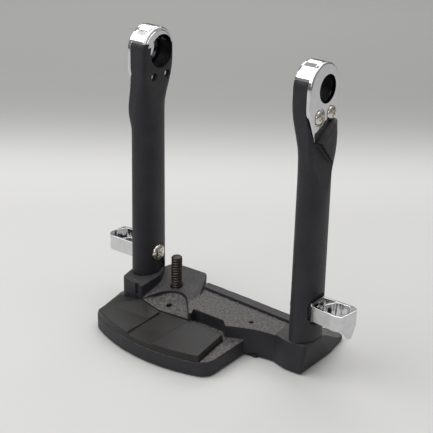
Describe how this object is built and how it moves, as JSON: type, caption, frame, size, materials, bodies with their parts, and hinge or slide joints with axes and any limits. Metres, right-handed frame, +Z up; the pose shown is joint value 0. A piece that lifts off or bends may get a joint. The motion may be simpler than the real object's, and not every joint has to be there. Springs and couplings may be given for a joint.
{
  "type": "bass drum pedal frame",
  "caption": "Cast bass drum pedal frame with upright posts, split bearing heads with chromed caps, a rubber hoop pad, a clamp stud and swivelling spring anchors.",
  "frame": {"origin": "on the floor, below the middle of the frame's overall width and depth", "axes": "+X along the axle bearings from the left post to the right post, +Y away from the hoop pad, +Z up"},
  "size_m": [0.2038, 0.111, 0.2093],
  "materials": {
    "black_coat": "satin black powder coat with a fine stipple",
    "chrome": "polished chrome plating",
    "nickel_screw": "bright nickel plating, slightly warm",
    "dark_steel": "black oxide steel, satin",
    "rubber": "moulded black rubber",
    "zinc": "bright zinc plating"
  },
  "bodies": {
    "frame": {"base_casting": "black_coat", "left_post": "black_coat", "right_post": "black_coat", "left_bearing_cap": "chrome", "right_bearing_cap": "chrome", "left_cap_screw_front": "nickel_screw", "left_cap_screw_rear": "nickel_screw", "left_anchor_screw": "nickel_screw", "right_cap_screw_front": "nickel_screw", "right_cap_screw_rear": "nickel_screw", "right_anchor_screw": "nickel_screw", "clamp_stud": "dark_steel", "left_post_bolt": "dark_steel", "right_post_bolt": "dark_steel", "hoop_pad": "rubber", "floor_pad_front_left": "rubber", "floor_pad_front_right": "rubber", "floor_pad_rear_left": "rubber", "floor_pad_arm": "rubber", "floor_pad_foot": "rubber", "clamp_stud_nut": "zinc", "left_post_washer": "zinc", "left_post_dowel": "zinc", "right_post_washer": "zinc", "right_post_dowel": "zinc"},
    "left_anchor": {"left_spring_anchor": "chrome"},
    "right_anchor": {"right_spring_anchor": "chrome"}
  },
  "joints": [
    {"name": "left_anchor_swivel", "type": "hinge", "parent": "frame", "child": "left_anchor", "pos_m": [-0.0754, 0.0095, 0.0445], "axis": [1, 0, 0], "range_deg": [-15, 15]},
    {"name": "right_anchor_swivel", "type": "hinge", "parent": "frame", "child": "right_anchor", "pos_m": [0.0754, 0.0095, 0.0445], "axis": [1, 0, 0], "range_deg": [-15, 15]}
  ]
}
